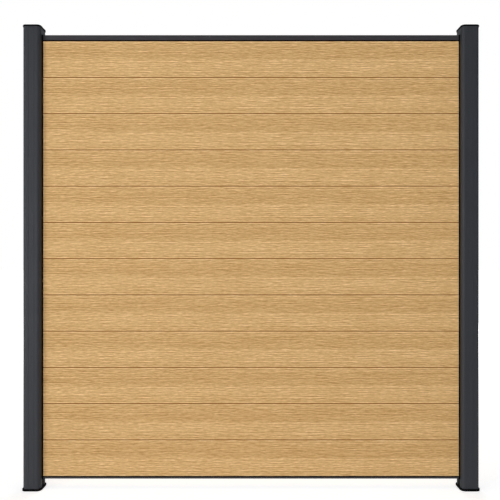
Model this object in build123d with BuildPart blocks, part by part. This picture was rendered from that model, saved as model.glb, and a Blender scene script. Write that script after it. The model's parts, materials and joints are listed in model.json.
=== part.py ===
from build123d import *
import os

# Composite fence panel. Millimetres, X along the panel, front towards -Y, Z up.
# The origin is on the ground, midway between the two posts.

# Posts: square extrusions with rounded corners and a groove in each face.
# They rise above the top rail by post_rise.
bay_pitch = 1800.0
post_size = 72.0
post_corner_radius = 14.0
post_rise = 26.5
post_wall = 2.0
groove_width = 24.0
groove_depth = 18.0
groove_arris = 0.6

# Nibs on both walls of each groove: strips snap behind them, seals are keyed on them.
nib_depth = 1.8
nib_width = 1.5
nib_height = 0.8

# Strips that close the grooves that hold no boards.
strip_recess = 0.3
strip_clearance = 0.2
strip_leg = 1.2
strip_leg_reach = 3.6
strip_hook = 2.0
strip_hook_clearance = 0.1
strip_arris = 0.4

# Foot plates with a hollow spigot that stands in the post's middle chamber.
base_overhang = 4.5
base_thickness = 8.0
base_edge_radius = 1.5
spigot_height = 120.0
spigot_wall = 4.0
spigot_clearance = 0.2
anchor_hole_radius = 7.0

# Screws from the outer groove through the post's inner wall into the spigot.
screw_radius = 2.75
screw_head_radius = 5.0
screw_head_height = 3.2
screw_head_arris = 1.2
screw_socket_radius = 2.3
screw_socket_depth = 1.8
screw_tip = 3.0
screw_hole_clearance = 0.25
thread_clearance = 0.05
screw_heights = (36.0, 96.0)

# Flat caps with a hollow plug.
cap_overhang = 2.0
cap_thickness = 6.5
cap_edge_radius = 1.5
cap_plug_depth = 22.0
cap_plug_wall = 2.5
cap_plug_clearance = 0.2

# Hollow tongue and groove boards.
board_count = 12
board_cover = 150.0
board_thickness = 20.0
board_end_clearance = 3.0
board_arris = 1.0
tongue_thickness = 8.0
tongue_height = 10.0
tongue_chamfer = 1.5
tongue_side_clearance = 0.5
tongue_top_clearance = 1.0
joint_gap = 1.4
joint_depth = 2.5
cell_count = 5
cell_wall = 4.2
cell_web = 4.5
cell_corner_radius = 2.5

# Rails below and above the boards, as thick as the boards, with a narrow reveal next to them.
ground_clearance = 40.0
bottom_rail_height = 12.0
top_rail_height = 25.0
rail_wall = 1.6
rail_reveal = 4.0
rail_end_clearance = 1.0
rail_edge_radius = 2.5

# Rubber seals between the groove walls and the boards.
seal_depth = 9.0
seal_reach = 4.5
seal_bead = 3.5
seal_bead_radius = 2.5
seal_nib_clearance = 0.1

# Blocks that carry the bottom rail.
support_clearance = 0.1
support_recess = 0.5
support_wall = 2.5

# Values that follow from the ones above.
post_half = post_size / 2
groove_half = groove_width / 2
groove_floor = post_half - groove_depth
chamber_half = groove_floor - post_wall
boards_bottom = ground_clearance + bottom_rail_height
boards_top = boards_bottom + board_count * board_cover
panel_top = boards_top + top_rail_height
post_bottom = base_thickness
post_top = panel_top + post_rise
groove_span = bay_pitch - 2 * groove_floor
board_length = groove_span - 2 * board_end_clearance
rail_length = groove_span - 2 * rail_end_clearance
board_half = board_thickness / 2
tongue_half = tongue_thickness / 2
slot_half = tongue_half + tongue_side_clearance
slot_depth = tongue_height + tongue_top_clearance
spigot_size = 2 * (chamber_half - spigot_clearance)
plug_size = 2 * (chamber_half - cap_plug_clearance)

os.makedirs("parts", exist_ok=True)


def save(builder, name):
    builder.part.label = name
    export_step(builder.part, f"parts/{name}.step")


def outward_plane(side, direction, height):
    """Plane across a post at a height, its x axis pointing out of one face."""
    return Plane(origin=(side * bay_pitch / 2, 0, height), x_dir=direction, z_dir=(0, 0, 1))


def along_plane(length, height):
    """Plane at the left end of a piece that runs along X, its axes to the rear and up."""
    return Plane(origin=(-length / 2, 0, height), x_dir=(0, 1, 0), z_dir=(1, 0, 0))


def mirrored(points):
    """The points, then the same points on the other side of the first axis, in reverse."""
    return points + [(-a, b) for a, b in reversed(points)]


def make_post(side):
    lobe_start = groove_half + post_wall
    lobe_end = post_half - post_wall
    lobe_chamfer = max(1.0, 2 * (chamber_half - lobe_start) + post_wall * 2**0.5)
    with BuildSketch() as lobe:
        with BuildLine():
            Polyline(
                (lobe_start + lobe_chamfer, lobe_start),
                (lobe_end, lobe_start),
                (lobe_end, lobe_end),
                (lobe_start, lobe_end),
                (lobe_start, lobe_start + lobe_chamfer),
                close=True,
            )
        make_face()
        outer = lobe.vertices().sort_by(lambda v: v.X + v.Y)[-1]
        fillet(outer, radius=post_corner_radius - post_wall)

    with BuildPart() as post:
        with BuildSketch(outward_plane(side, (1, 0, 0), post_bottom)) as section:
            RectangleRounded(post_size, post_size, post_corner_radius)
            with PolarLocations(0, 4):
                with Locations((post_half - groove_depth / 2, 0)):
                    Rectangle(groove_depth, groove_width, mode=Mode.SUBTRACT)
            mouth = [
                v
                for v in section.vertices()
                if abs(min(abs(v.X), abs(v.Y)) - groove_half) < 0.01
                and abs(max(abs(v.X), abs(v.Y)) - post_half) < 0.01
            ]
            fillet(mouth, radius=groove_arris)
            with PolarLocations(0, 4):
                for edge in (-1, 1):
                    with Locations(
                        (
                            post_half - nib_depth - nib_width / 2,
                            edge * (groove_half - nib_height / 2),
                        )
                    ):
                        Rectangle(nib_width, nib_height)
            Rectangle(2 * chamber_half, 2 * chamber_half, mode=Mode.SUBTRACT)
            with PolarLocations(0, 4):
                add(lobe.sketch, mode=Mode.SUBTRACT)
        extrude(amount=post_top - post_bottom)
        # Clearance holes for the base screws, in the floor of the outer groove.
        hole_plane = Plane(
            origin=(side * (bay_pitch / 2 + groove_floor), 0, 0),
            x_dir=(0, side, 0),
            z_dir=(side, 0, 0),
        )
        with BuildSketch(hole_plane):
            with Locations(*[(0, height) for height in screw_heights]):
                Circle(screw_radius + screw_hole_clearance)
        extrude(amount=-post_wall, mode=Mode.SUBTRACT)
    return post


def make_strip(side, direction, bottom, top):
    """Strip with two hooked legs, flush with a post's face but for a small recess."""
    leg_outer = groove_half - nib_height - strip_clearance
    hook_outer = groove_half - strip_clearance
    hook_top = nib_depth + nib_width + strip_hook_clearance
    leg_end = nib_depth + strip_leg_reach
    half = [
        (leg_outer - strip_leg, nib_depth),
        (leg_outer - strip_leg, leg_end),
        (leg_outer, leg_end),
        (hook_outer, leg_end - strip_hook / 2),
        (hook_outer, hook_top),
        (leg_outer, hook_top),
        (leg_outer, nib_depth),
        (hook_outer, nib_depth),
        (hook_outer, strip_recess + strip_arris),
        (hook_outer - strip_arris, strip_recess),
    ]
    with BuildPart() as strip:
        with BuildSketch(outward_plane(side, direction, bottom)):
            with BuildLine():
                Polyline(*[(post_half - d, t) for t, d in mirrored(half)], close=True)
            make_face()
        extrude(amount=top - bottom)
    return strip


def make_base(side):
    plate_size = post_size + 2 * base_overhang
    bore = spigot_size - 2 * spigot_wall
    with BuildPart() as base:
        with BuildSketch(outward_plane(side, (1, 0, 0), 0)):
            RectangleRounded(plate_size, plate_size, post_corner_radius + base_overhang)
        extrude(amount=base_thickness)
        top_edges = base.faces().sort_by(Axis.Z)[-1].outer_wire().edges()
        fillet(top_edges, radius=base_edge_radius)
        with BuildSketch(outward_plane(side, (1, 0, 0), base_thickness)):
            Rectangle(spigot_size, spigot_size)
            Rectangle(bore, bore, mode=Mode.SUBTRACT)
        extrude(amount=spigot_height)
        with BuildSketch(outward_plane(side, (1, 0, 0), 0)):
            Circle(anchor_hole_radius)
        extrude(amount=base_thickness, mode=Mode.SUBTRACT)
        thread_plane = Plane(
            origin=(side * (bay_pitch / 2 + spigot_size / 2), 0, 0),
            x_dir=(0, side, 0),
            z_dir=(side, 0, 0),
        )
        with BuildSketch(thread_plane):
            with Locations(*[(0, height) for height in screw_heights]):
                Circle(screw_radius + thread_clearance)
        extrude(amount=-spigot_wall, mode=Mode.SUBTRACT)
    return base


def make_base_screws(side):
    reach = post_wall + spigot_clearance + spigot_wall + screw_tip
    half_profile = [
        (0, -reach),
        (screw_radius * 0.4, -reach),
        (screw_radius, -reach + screw_tip / 2),
        (screw_radius, 0),
        (screw_head_radius, 0),
        (screw_head_radius, screw_head_height - screw_head_arris),
        (screw_head_radius - screw_head_arris, screw_head_height),
        (0, screw_head_height),
    ]
    with BuildPart() as screws:
        for height in screw_heights:
            seat = Plane(
                origin=(side * (bay_pitch / 2 + groove_floor), 0, height),
                x_dir=(0, 0, 1),
                z_dir=(0, side, 0),
            )
            # In this plane the second axis is the screw's axis, pointing out of the groove.
            axis = Axis(seat.origin, seat.y_dir)
            out = side * seat.y_dir.X
            with BuildSketch(seat):
                with BuildLine():
                    Polyline(*[(r, out * a) for r, a in half_profile], close=True)
                make_face()
            revolve(axis=axis, revolution_arc=360)
            socket = Plane(
                origin=(side * (bay_pitch / 2 + groove_floor + screw_head_height), 0, height),
                x_dir=(0, side, 0),
                z_dir=(side, 0, 0),
            )
            with BuildSketch(socket):
                RegularPolygon(screw_socket_radius, 6)
            extrude(amount=-screw_socket_depth, mode=Mode.SUBTRACT)
    return screws


def make_cap(side):
    plate_size = post_size + 2 * cap_overhang
    bore = plug_size - 2 * cap_plug_wall
    with BuildPart() as cap:
        with BuildSketch(outward_plane(side, (1, 0, 0), post_top)):
            RectangleRounded(plate_size, plate_size, post_corner_radius + cap_overhang)
        extrude(amount=cap_thickness)
        top_edges = cap.faces().sort_by(Axis.Z)[-1].outer_wire().edges()
        fillet(top_edges, radius=cap_edge_radius)
        with BuildSketch(outward_plane(side, (1, 0, 0), post_top)):
            Rectangle(plug_size, plug_size)
            Rectangle(bore, bore, mode=Mode.SUBTRACT)
        extrude(amount=-cap_plug_depth)
    return cap


def make_support(side):
    """Block in the inner groove, hollow from below, between the foot plate and the bottom rail."""
    depth = groove_depth - support_recess - support_clearance
    width = 2 * (groove_half - nib_height - strip_clearance)
    middle = groove_floor + support_clearance + depth / 2
    with BuildPart() as support:
        with BuildSketch(outward_plane(side, (-side, 0, 0), post_bottom)):
            with Locations((middle, 0)):
                Rectangle(depth, width)
        extrude(amount=ground_clearance - post_bottom)
        with BuildSketch(outward_plane(side, (-side, 0, 0), post_bottom)):
            with Locations((middle, 0)):
                Rectangle(depth - 2 * support_wall, width - 2 * support_wall)
        extrude(amount=ground_clearance - post_bottom - support_wall, mode=Mode.SUBTRACT)
    return support


def make_seal(side, edge):
    """Seal beside the boards in the inner groove. The edge is side for the front, -side for the rear."""
    notch_start = post_half - nib_depth + seal_nib_clearance
    notch_end = post_half - nib_depth - nib_width - seal_nib_clearance
    notch_floor = groove_half - nib_height - seal_nib_clearance
    bead_corner = (post_half + seal_reach, board_half + seal_bead)
    outline = [
        (post_half - seal_depth, board_half),
        (post_half + seal_reach, board_half),
        bead_corner,
        (post_half, board_half + seal_bead),
        (post_half, groove_half),
        (notch_start, groove_half),
        (notch_start, notch_floor),
        (notch_end, notch_floor),
        (notch_end, groove_half),
        (post_half - seal_depth, groove_half),
    ]
    with BuildPart() as seal:
        with BuildSketch(outward_plane(side, (-side, 0, 0), ground_clearance)) as section:
            with BuildLine():
                Polyline(*[(a, edge * b) for a, b in outline], close=True)
            make_face()
            crown = section.vertices().sort_by(lambda v: v.X + edge * v.Y)[-1]
            fillet(crown, radius=seal_bead_radius)
        extrude(amount=panel_top - ground_clearance)
    return seal


def make_board(bottom):
    """Board with a groove below, a tongue and a shadow gap above, and a row of hollow cells."""
    outline = [
        (slot_half, slot_depth),
        (slot_half, 0),
        (board_half, 0),
        (board_half, board_cover - joint_gap),
        (board_half - joint_depth, board_cover - joint_gap),
        (board_half - joint_depth, board_cover),
        (tongue_half, board_cover),
        (tongue_half, board_cover + tongue_height - tongue_chamfer),
        (tongue_half - tongue_chamfer, board_cover + tongue_height),
    ]
    cells_bottom = slot_depth + cell_wall
    cells_top = board_cover - cell_wall
    cell_height = (cells_top - cells_bottom - (cell_count - 1) * cell_web) / cell_count
    with BuildPart() as board:
        with BuildSketch(along_plane(board_length, bottom)) as section:
            with BuildLine():
                Polyline(*mirrored(outline), close=True)
            make_face()
            arrises = [
                v
                for v in section.vertices()
                if abs(abs(v.X) - board_half) < 0.01
            ]
            fillet(arrises, radius=board_arris)
            for cell in range(cell_count):
                middle = cells_bottom + cell * (cell_height + cell_web) + cell_height / 2
                with Locations((0, middle)):
                    RectangleRounded(
                        board_thickness - 2 * cell_wall,
                        cell_height,
                        cell_corner_radius,
                        mode=Mode.SUBTRACT,
                    )
        extrude(amount=board_length)
    return board


def make_rail(bottom, outline, hollow, rounded_height):
    """Hollow rail along X from an outline and its hollow, with two long edges rounded."""
    with BuildPart() as rail:
        with BuildSketch(along_plane(rail_length, bottom)) as section:
            with BuildLine():
                Polyline(*mirrored(outline), close=True)
            make_face()
            edges = [
                v
                for v in section.vertices()
                if abs(abs(v.X) - board_half) < 0.01 and abs(v.Y - rounded_height) < 0.01
            ]
            fillet(edges, radius=rail_edge_radius)
            with BuildLine():
                Polyline(*mirrored(hollow), close=True)
            make_face(mode=Mode.SUBTRACT)
        extrude(amount=rail_length)
    return rail


# Bottom rail: a flat box, a raised seat for the lowest board and a tongue in its groove.
seat_half = board_half - joint_depth
seat_base = bottom_rail_height - rail_reveal
bottom_outline = [
    (board_half, 0),
    (board_half, seat_base),
    (seat_half, seat_base),
    (seat_half, bottom_rail_height),
    (tongue_half, bottom_rail_height),
    (tongue_half, bottom_rail_height + tongue_height),
]
bottom_hollow = [
    (board_half - rail_wall, rail_wall),
    (board_half - rail_wall, seat_base - rail_wall),
    (seat_half - rail_wall, seat_base - rail_wall),
    (seat_half - rail_wall, bottom_rail_height - rail_wall),
    (tongue_half - rail_wall, bottom_rail_height - rail_wall),
    (tongue_half - rail_wall, bottom_rail_height + tongue_height - rail_wall),
]

# Top rail: a box over a slot for the top board's tongue, with two legs that stand on the board.
leg_half = slot_half + rail_wall
top_outline = [
    (slot_half, slot_depth),
    (slot_half, 0),
    (leg_half, 0),
    (leg_half, rail_reveal),
    (board_half, rail_reveal),
    (board_half, top_rail_height),
]
top_hollow = [
    (leg_half, slot_depth + rail_wall),
    (leg_half, rail_reveal + rail_wall),
    (board_half - rail_wall, rail_reveal + rail_wall),
    (board_half - rail_wall, top_rail_height - rail_wall),
]

save(make_rail(ground_clearance, bottom_outline, bottom_hollow, 0), "bottom_rail")
save(make_rail(boards_top, top_outline, top_hollow, top_rail_height), "top_rail")

for number in range(board_count):
    save(make_board(boards_bottom + number * board_cover), f"board_{number + 1:02d}")

for side, hand in ((-1, "left"), (1, "right")):
    save(make_post(side), f"{hand}_post")
    save(make_base(side), f"{hand}_post_base")
    save(make_base_screws(side), f"{hand}_base_screws")
    save(make_cap(side), f"{hand}_post_cap")
    save(make_strip(side, (0, -1, 0), post_bottom, post_top), f"{hand}_front_strip")
    save(make_strip(side, (0, 1, 0), post_bottom, post_top), f"{hand}_rear_strip")
    save(make_strip(side, (side, 0, 0), post_bottom, post_top), f"{hand}_outer_strip")
    save(make_strip(side, (-side, 0, 0), panel_top, post_top), f"{hand}_upper_strip")
    save(make_support(side), f"{hand}_rail_support")
    save(make_seal(side, side), f"{hand}_front_seal")
    save(make_seal(side, -side), f"{hand}_rear_seal")
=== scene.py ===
import json
import math

import bpy
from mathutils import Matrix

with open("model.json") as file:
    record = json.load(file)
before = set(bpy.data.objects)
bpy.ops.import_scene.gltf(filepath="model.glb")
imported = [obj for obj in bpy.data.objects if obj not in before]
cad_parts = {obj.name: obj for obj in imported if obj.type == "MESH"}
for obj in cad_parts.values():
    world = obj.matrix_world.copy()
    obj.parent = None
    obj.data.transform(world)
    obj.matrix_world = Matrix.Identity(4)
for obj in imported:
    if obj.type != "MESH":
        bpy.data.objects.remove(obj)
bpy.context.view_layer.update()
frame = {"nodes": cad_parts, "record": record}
nodes = frame["nodes"]
scene = bpy.context.scene

# Sizes of the panel that the materials follow, in metres.
BOARD_PITCH = 0.150
BOARD_COUNT = 12
BOARDS_BOTTOM = 0.052
BOARD_FACE = 0.010
JOINT_GAP = 0.0014
RAIL_REVEAL = 0.004
FACE_HALF = (BOARD_PITCH - JOINT_GAP) / 2
BOARDS_HALF = BOARD_COUNT * BOARD_PITCH / 2
BOARDS_MIDDLE = BOARDS_BOTTOM + BOARDS_HALF

# Grain of the boards, in metres: from a light line to the next dark one, height of a brushed row,
# how far the grain bends.
LINE_GAP = 0.0042
ROW_PITCH = 0.0042
GRAIN_BEND = 0.0006

# Height that the lamps face.
AIM_HEIGHT = 0.95


def linear(r, g, b):
    """A display colour, 0 to 255, as linear values."""
    out = []
    for value in (r, g, b):
        c = value / 255.0
        out.append(c / 12.92 if c <= 0.04045 else ((c + 0.055) / 1.055) ** 2.4)
    return (*out, 1.0)


def grey(value):
    return (value, value, value, 1.0)


def scaled(colour, factor):
    """A linear colour, lighter or darker by a factor."""
    return (*(c * factor for c in colour), 1.0)


class Nodes:
    """Small helper that adds shader nodes and links to one material or world."""

    def __init__(self, owner, out="ShaderNodeOutputMaterial"):
        owner.use_nodes = True
        self.owner = owner
        self.tree = owner.node_tree
        self.tree.nodes.clear()
        self.out = self.add(out)

    def add(self, kind, **settings):
        node = self.tree.nodes.new(kind)
        for key, value in settings.items():
            setattr(node, key, value)
        return node

    def link(self, a, b):
        self.tree.links.new(a, b)

    def put(self, socket, value):
        """Links an output socket or sets a plain value."""
        if isinstance(value, bpy.types.NodeSocket):
            self.link(value, socket)
        else:
            socket.default_value = value

    def math(self, operation, a, b=0.0, c=0.0):
        node = self.add("ShaderNodeMath", operation=operation)
        for socket, value in zip(node.inputs, (a, b, c)):
            self.put(socket, value)
        return node.outputs[0]

    def off(self, value, centre):
        """Distance of a value from a centre."""
        return self.math("ABSOLUTE", self.math("SUBTRACT", value, centre))

    def coords(self, kind="Object"):
        return self.add("ShaderNodeTexCoord").outputs[kind]

    def position(self, kind="Object"):
        """X, Y and Z of the object's own coordinates, or of another kind."""
        split = self.add("ShaderNodeSeparateXYZ")
        self.link(self.coords(kind), split.inputs[0])
        return split.outputs

    def vector(self, x, y, z):
        node = self.add("ShaderNodeCombineXYZ")
        for socket, value in zip(node.inputs, (x, y, z)):
            self.put(socket, value)
        return node.outputs[0]

    def noise(self, vector, scale=1.0, detail=2.0, roughness=0.5):
        node = self.add("ShaderNodeTexNoise")
        self.link(vector, node.inputs["Vector"])
        node.inputs["Scale"].default_value = scale
        node.inputs["Detail"].default_value = detail
        node.inputs["Roughness"].default_value = roughness
        return node.outputs[0]

    def spread(self, value, low, high, to_low=0.0, to_high=1.0):
        """Maps low to high onto to_low to to_high, and clamps."""
        node = self.add("ShaderNodeMapRange", clamp=True)
        self.put(node.inputs["Value"], value)
        for socket, number in zip(node.inputs[1:5], (low, high, to_low, to_high)):
            socket.default_value = number
        return node.outputs[0]

    def ramp(self, value, stops):
        node = self.add("ShaderNodeValToRGB")
        elements = node.color_ramp.elements
        while len(elements) < len(stops):
            elements.new(0.5)
        for element, (at, colour) in zip(elements, stops):
            element.position = at
            element.color = colour
        self.put(node.inputs[0], value)
        return node.outputs[0]

    def mix(self, factor, a, b):
        node = self.add("ShaderNodeMix", data_type="RGBA")
        self.put(node.inputs[0], factor)
        self.put(node.inputs[6], a)
        self.put(node.inputs[7], b)
        return node.outputs[2]

    def bump(self, height, strength, distance):
        node = self.add("ShaderNodeBump")
        node.inputs["Strength"].default_value = strength
        node.inputs["Distance"].default_value = distance
        self.link(height, node.inputs["Height"])
        return node.outputs[0]

    def seen(self, mirrored):
        """1 for camera and transmission rays, and where mirrored is 1 for glossy rays too."""
        path = self.add("ShaderNodeLightPath").outputs
        glossy = self.math("MULTIPLY", path["Is Glossy Ray"], mirrored)
        straight = self.math("MAXIMUM", path["Is Camera Ray"], path["Is Transmission Ray"])
        return self.math("MAXIMUM", straight, glossy)

    def finish(self, colour, roughness, normal, specular, metallic=0.0):
        shader = self.add("ShaderNodeBsdfPrincipled")
        self.put(shader.inputs["Base Color"], colour)
        self.put(shader.inputs["Roughness"], roughness)
        self.put(shader.inputs["Specular IOR Level"], specular)
        shader.inputs["Metallic"].default_value = metallic
        self.link(normal, shader.inputs["Normal"])
        self.link(shader.outputs[0], self.out.inputs[0])
        return self.owner


def material_nodes(name):
    return Nodes(bpy.data.materials.new(name))


def board_material():
    """Oak-tone wood composite: lines, brushed dashes and pores embossed along the board."""
    n = material_nodes("board_composite")
    x, y, z = n.position()
    share = n.math("DIVIDE", n.math("SUBTRACT", z, BOARDS_BOTTOM), BOARD_PITCH)
    number = n.math("FLOOR", share)
    v = n.math("FRACT", share)
    height = n.math("MULTIPLY", v, BOARD_PITCH)
    depth = n.math("MULTIPLY", y, 6.0)

    # Slow waves bend the grain a little.
    along_wave = n.math("MULTIPLY", x, 4.0)
    wave = n.noise(n.vector(along_wave, n.math("MULTIPLY", height, 12.0), depth))
    bent = n.math("MULTIPLY_ADD", wave, GRAIN_BEND, height)

    def streaks(along, across, start, own=0.0, shift=0.0):
        """Noise drawn out along the board. With own, each board starts at its own place."""
        first = n.math("MULTIPLY_ADD", x, along, start)
        if own:
            first = n.math("MULTIPLY_ADD", number, own, first)
        second = n.math("MULTIPLY_ADD", bent, across, shift)
        return n.noise(n.vector(first, second, depth), detail=3.0, roughness=0.6)

    def lines(along, across, start):
        """Streaks less the same streaks a line further up: even, fine lines with a mean of 0."""
        further_up = streaks(along, across, start, shift=across * LINE_GAP)
        return n.math("SUBTRACT", streaks(along, across, start), further_up)

    dashes = lines(20.0, 190.0, 11.7)
    long_lines = lines(0.4, 190.0, 3.1)
    fine = streaks(22.0, 430.0, 17.3, 3.9)
    patches = streaks(5.0, 30.0, 8.4, 2.7)
    pores = streaks(50.0, 1300.0, 27.9, 7.1)

    # Brushed rows: straight dashes that start and end row by row.
    row = n.math("FLOOR", n.math("DIVIDE", height, ROW_PITCH))
    row_start = n.math("MULTIPLY_ADD", number, 5.3, n.math("MULTIPLY", row, 3.7))
    along_row = n.math("MULTIPLY_ADD", x, 50.0, row_start)
    brushed = n.noise(n.vector(along_row, n.math("MULTIPLY", row, 7.31), depth))
    brushed = n.math("SUBTRACT", brushed, 0.5)

    # Lighter in the lower half of each board, darker in the upper half, and a painted highlight along each
    # board's edges next to the joints.
    tone_and_joint_highlight = n.ramp(
        v,
        [
            (0.0, grey(0.56)),
            (0.03, grey(0.56)),
            (0.045, grey(0.50)),
            (0.12, grey(0.51)),
            (0.25, grey(0.535)),
            (0.46, grey(0.535)),
            (0.56, grey(0.465)),
            (0.80, grey(0.465)),
            # Painted highlight: the lightest stops at both ends of the ramp light the edges next to the
            # joints.
            (0.945, grey(0.50)),
            (0.96, grey(0.58)),
            (1.0, grey(0.58)),
        ],
    )
    grain = n.math("MULTIPLY", dashes, 0.5)
    for layer, weight in ((brushed, 0.38), (long_lines, 0.32), (fine, 0.26)):
        grain = n.math("MULTIPLY_ADD", layer, weight, grain)
    # The mean of this sum is about 0.7.
    total = n.math("ADD", tone_and_joint_highlight, n.math("MULTIPLY_ADD", patches, 0.15, grain))
    level = n.spread(total, 0.302, 1.042)
    colour = n.ramp(
        level,
        [
            (0.14, linear(157, 116, 62)),
            (0.34, linear(187, 147, 92)),
            (0.5, linear(202, 163, 109)),
            (0.66, linear(216, 178, 124)),
            (0.86, linear(242, 207, 155)),
        ],
    )
    pore_mask = n.spread(pores, 0.57, 0.68)
    colour = n.mix(n.math("MULTIPLY", pore_mask, 0.35), colour, linear(140, 102, 58))

    # The edges at the joints are darker: partly the darker core showing at the arris, partly painted shade
    # of the joint gaps. Not the panel's own top and bottom edges.
    half_count = BOARD_COUNT / 2
    edge = n.spread(n.off(height, FACE_HALF), FACE_HALF - 0.0016, FACE_HALF - 0.0007)
    jointed = n.spread(n.off(share, half_count), half_count - 0.06, half_count - 0.04, 1.0, 0.0)
    # Painted shade mixed with core colour on the edges at the joints.
    joint_edge_core_and_shade = n.math("MULTIPLY", n.math("MULTIPLY", edge, jointed), 0.9)
    colour = n.mix(joint_edge_core_and_shade, colour, linear(158, 98, 14))

    # Behind the faces a darker core colour shows, inside the joints and in the grooves and cells: partly
    # the core's own colour, partly painted shade of these recesses.
    inside = n.spread(n.math("ABSOLUTE", y), BOARD_FACE - 0.0012, BOARD_FACE - 0.0003, 1.0, 0.0)
    colour = n.mix(inside, colour, linear(112, 58, 5))

    relief = n.math("MULTIPLY_ADD", pore_mask, -0.3, grain)
    roughness = n.spread(grain, 0.0, 0.35, 0.8, 0.62)
    return n.finish(colour, roughness, n.bump(relief, 0.4, 0.0006), specular=0.2)


def coat_material(name, colour, roughness, specular, painted_reveal_shade=False):
    """Fine-textured powder coat: tiny bumps and faint mottling.

    With painted_reveal_shade, painted shade darkens the reveals next to the boards and lowers their
    specular.
    """
    n = material_nodes(name)
    coords = n.coords()
    fine = n.noise(coords, 1500.0, roughness=0.6)
    cloud = n.noise(coords, 14.0, 3.0, 0.6)
    mottle = n.math("MULTIPLY_ADD", fine, 0.6, n.math("MULTIPLY", cloud, 0.4))
    tint = n.ramp(mottle, [(0.3, scaled(colour, 0.88)), (0.7, scaled(colour, 1.12))])
    if painted_reveal_shade:
        # Painted shade: the reveals next to the boards are darkened to a tenth of the coat's colour, with
        # low specular.
        _, y, z = n.position()
        reach = BOARDS_HALF + RAIL_REVEAL
        behind = n.spread(n.math("ABSOLUTE", y), BOARD_FACE - 0.0006, BOARD_FACE - 0.0001, 1.0, 0.0)
        within = n.spread(n.off(z, BOARDS_MIDDLE), reach + 0.0004, reach + 0.0012, 1.0, 0.0)
        inside = n.math("MULTIPLY", behind, within)
        tint = n.mix(inside, tint, scaled(colour, 0.1))
        specular = n.spread(inside, 0.0, 1.0, specular, 0.02)
    rough = n.spread(cloud, 0.3, 0.7, roughness - 0.05, roughness + 0.05)
    return n.finish(tint, rough, n.bump(fine, 0.2, 0.0002), specular)


def plastic_material():
    """Moulded black plastic with a fine leather-like grain."""
    n = material_nodes("black_plastic")
    coords = n.coords()
    cells = n.add("ShaderNodeTexVoronoi", feature="SMOOTH_F1")
    n.link(coords, cells.inputs["Vector"])
    cells.inputs["Scale"].default_value = 900.0
    cloud = n.noise(coords, 30.0, 3.0, 0.6)
    tint = n.ramp(cloud, [(0.3, (0.0012, 0.0012, 0.0013, 1)), (0.7, (0.0020, 0.0020, 0.0022, 1))])
    rough = n.spread(cloud, 0.3, 0.7, 0.56, 0.66)
    return n.finish(tint, rough, n.bump(cells.outputs["Distance"], 0.25, 0.0003), specular=0.08)


def rubber_material():
    """Matt black rubber with faint lines along the extrusion."""
    n = material_nodes("seal_rubber")
    x, y, z = n.position()
    fine_x, fine_y = (n.math("MULTIPLY", value, 1800.0) for value in (x, y))
    lines = n.noise(n.vector(fine_x, fine_y, n.math("MULTIPLY", z, 9.0)))
    tint = n.ramp(lines, [(0.3, (0.0012, 0.0012, 0.0012, 1)), (0.7, (0.0022, 0.0022, 0.0023, 1))])
    rough = n.spread(lines, 0.3, 0.7, 0.7, 0.82)
    return n.finish(tint, rough, n.bump(lines, 0.3, 0.0002), specular=0.08)


def steel_material():
    """Stainless steel with fine turning marks."""
    n = material_nodes("screw_steel")
    marks = n.noise(n.coords(), 2600.0, 3.0, 0.6)
    tint = n.ramp(marks, [(0.3, (0.42, 0.42, 0.41, 1)), (0.7, (0.6, 0.6, 0.59, 1))])
    rough = n.spread(marks, 0.3, 0.7, 0.26, 0.42)
    return n.finish(tint, rough, n.bump(marks, 0.2, 0.0001), specular=0.5, metallic=1.0)


materials = {
    "board_composite": board_material(),
    "post_coating": coat_material("post_coating", (0.0290, 0.0323, 0.0391), 0.62, 0.6),
    "rail_coating": coat_material(
        "rail_coating", (0.0328, 0.0306, 0.0354), 0.62, 0.6, painted_reveal_shade=True
    ),
    "base_coating": coat_material("base_coating", (0.0014, 0.0014, 0.0016), 0.62, 0.08),
    "black_plastic": plastic_material(),
    "seal_rubber": rubber_material(),
    "screw_steel": steel_material(),
}
slot_of = {row["node"]: row["material_slot"] for row in frame["record"]["subparts"]}
for name, node in nodes.items():
    for slot in node.material_slots:
        slot.material = materials[slot_of[name]]


def floor_material():
    """Pale floor with the panel's soft shadow. White to the camera, and in reflections behind the panel."""
    n = material_nodes("floor_pale")
    x, y, _ = n.position()
    far = n.math("SQRT", n.math("MULTIPLY_ADD", x, x, n.math("MULTIPLY", y, y)))
    white = n.seen(n.spread(y, -0.2, 0.4))
    glow = n.add("ShaderNodeEmission")
    n.link(n.math("MULTIPLY", white, n.spread(far, 1.5, 4.0, 0.65, 1.0)), glow.inputs["Strength"])
    pale = n.add("ShaderNodeBsdfDiffuse")
    cloud = n.noise(n.coords(), 3.0, 3.0)
    n.link(n.ramp(cloud, [(0.3, grey(0.82)), (0.7, grey(0.86))]), pale.inputs["Color"])
    both = n.add("ShaderNodeAddShader")
    n.link(glow.outputs[0], both.inputs[0])
    n.link(pale.outputs[0], both.inputs[1])
    n.link(both.outputs[0], n.out.inputs[0])
    return n.owner


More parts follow.
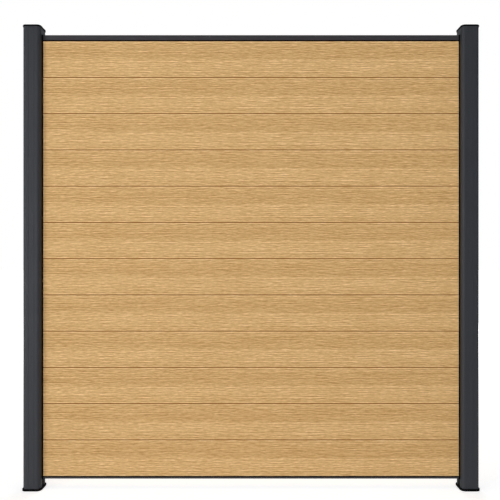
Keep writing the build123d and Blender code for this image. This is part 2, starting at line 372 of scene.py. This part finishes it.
bpy.ops.mesh.primitive_plane_add(size=80.0, location=(0.0, 0.0, 0.0))
floor = bpy.context.object
floor.name = "floor"
floor.data.materials.append(floor_material())


def studio_world():
    """White to the camera, and in reflections where a backdrop would stand behind the panel.

    Otherwise a dim grey light on the object.
    """
    n = Nodes(bpy.data.worlds.new("studio"), "ShaderNodeOutputWorld")
    white = n.seen(n.spread(n.position("Generated")["Y"], 0.7, 0.95))
    glossy = n.add("ShaderNodeLightPath").outputs["Is Glossy Ray"]
    ambient = n.spread(glossy, 0.0, 1.0, 0.25, 0.05)
    background = n.add("ShaderNodeBackground")
    background.inputs["Color"].default_value = grey(1.0)
    n.link(n.math("MAXIMUM", white, ambient), background.inputs["Strength"])
    n.link(background.outputs[0], n.out.inputs[0])
    return n.owner


scene.world = studio_world()


def area_light(name, place, size, power, glossy=True):
    """A rectangular lamp that faces the middle of the panel."""
    data = bpy.data.lights.new(name, "AREA")
    data.shape = "RECTANGLE"
    data.size, data.size_y = size
    data.energy = power
    lamp = bpy.data.objects.new(name, data)
    scene.collection.objects.link(lamp)
    lamp.location = place
    lamp.visible_glossy = glossy
    x, y, z = -place[0], -place[1], AIM_HEIGHT - place[2]
    lamp.rotation_euler = (math.atan2(math.hypot(x, y), -z), 0.0, math.atan2(-x, y))


area_light("key", (-6.9, -6.2, 0.95), (2.0, 3.0), 285.0)
area_light("fill", (-0.6, -6.5, 0.5), (3.0, 1.4), 223.0, glossy=False)
area_light("rear", (1.0, 6.5, 0.95), (3.0, 1.6), 270.0, glossy=False)
area_light("top", (0.0, -0.4, 4.8), (3.0, 1.2), 16.0)

camera_data = bpy.data.cameras.new("camera")
camera_data.lens = 40.8
camera_data.sensor_width = 36.0
camera_data.shift_x = -0.002
camera_data.shift_y = 0.015
camera = bpy.data.objects.new("camera", camera_data)
scene.collection.objects.link(camera)
camera.location = (0.0, -2.355, 0.956)
camera.rotation_euler = (math.radians(90.0), 0.0, 0.0)
scene.camera = camera

scene.view_settings.view_transform = "Standard"
